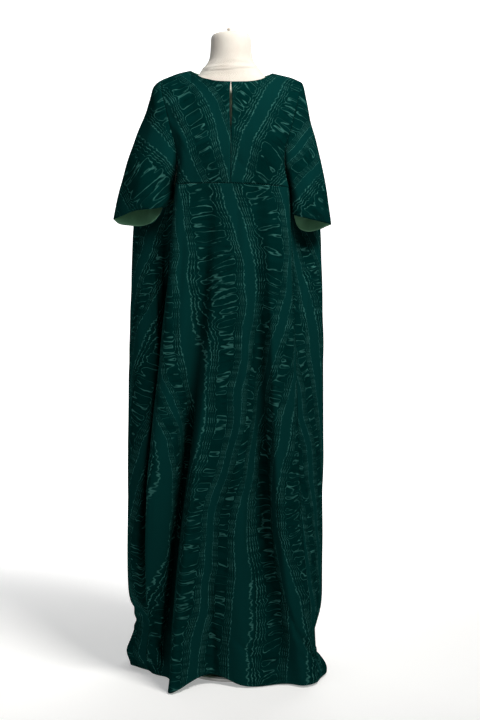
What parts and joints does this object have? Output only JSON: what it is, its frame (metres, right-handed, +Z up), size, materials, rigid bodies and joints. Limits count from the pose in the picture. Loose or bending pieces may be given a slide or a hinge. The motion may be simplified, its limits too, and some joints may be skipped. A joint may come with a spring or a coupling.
{
  "type": "moroccan kaftan on a dress form",
  "caption": "Floor-length watered-silk kaftan with short cape-like sleeves and a slit round neck, worn on a limbless dress form.",
  "frame": {"origin": "on the floor under the neck of the form, in the underside of the round stand plate", "axes": "+Z up, the wearer faces -Y, +X is the wearer's left"},
  "size_m": [0.53, 0.4536, 1.5888],
  "materials": {
    "emerald_silk": "watered silk with a soft sheen",
    "cream_jersey": "matt knit",
    "satin_steel": "satin",
    "dark_hook_metal": "black lacquered wire"
  },
  "bodies": {
    "root": {"front_bodice_right": "emerald_silk", "front_bodice_left": "emerald_silk", "front_skirt": "emerald_silk", "back": "emerald_silk", "sleeve_right": "emerald_silk", "sleeve_left": "emerald_silk", "neck_hook": "dark_hook_metal", "neck_eye": "dark_hook_metal", "form_torso": "cream_jersey", "form_knob": "cream_jersey", "stand_pole": "satin_steel", "stand_base": "satin_steel"}
  },
  "joints": []
}
